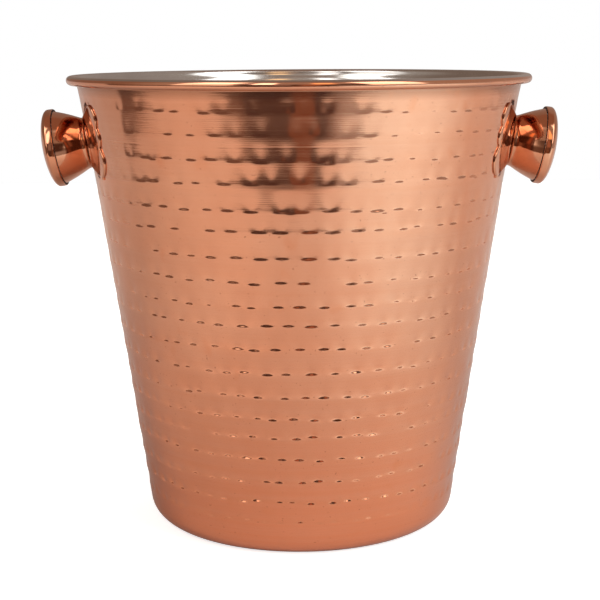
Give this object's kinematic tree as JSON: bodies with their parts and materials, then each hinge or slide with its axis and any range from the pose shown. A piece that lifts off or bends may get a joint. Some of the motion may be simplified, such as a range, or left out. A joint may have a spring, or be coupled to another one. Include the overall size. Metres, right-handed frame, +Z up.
{
  "type": "ice bucket",
  "caption": "Tapered hammered copper-finish ice bucket with a rolled rim and a fixed spun knob on a saddle plate at each side, for chilling a bottle in ice.",
  "frame": {"origin": "centre of the base, on the surface the bucket stands on", "axes": "+Z up through the mouth, +X towards the right knob, +Y away from the front"},
  "size_m": [0.2424, 0.216, 0.2114],
  "materials": {
    "satin_copper_plate": "hammered steel sheet: satin copper plate outside, bright steel inside and on the rim's crown",
    "polished_copper": "polished copper plate",
    "bush_brass": "turned",
    "stainless_steel": "bright stainless",
    "black_rubber": "matt"
  },
  "bodies": {
    "root": {"bucket_shell": "satin_copper_plate", "escutcheon_left": "polished_copper", "knob_cone_left": "polished_copper", "knob_cap_left": "polished_copper", "knob_bush_left": "bush_brass", "knob_screw_left": "stainless_steel", "lock_washer_left": "stainless_steel", "flat_washer_left": "stainless_steel", "seal_washer_left": "black_rubber", "escutcheon_right": "polished_copper", "knob_cone_right": "polished_copper", "knob_cap_right": "polished_copper", "knob_bush_right": "bush_brass", "knob_screw_right": "stainless_steel", "lock_washer_right": "stainless_steel", "flat_washer_right": "stainless_steel", "seal_washer_right": "black_rubber"}
  },
  "joints": []
}
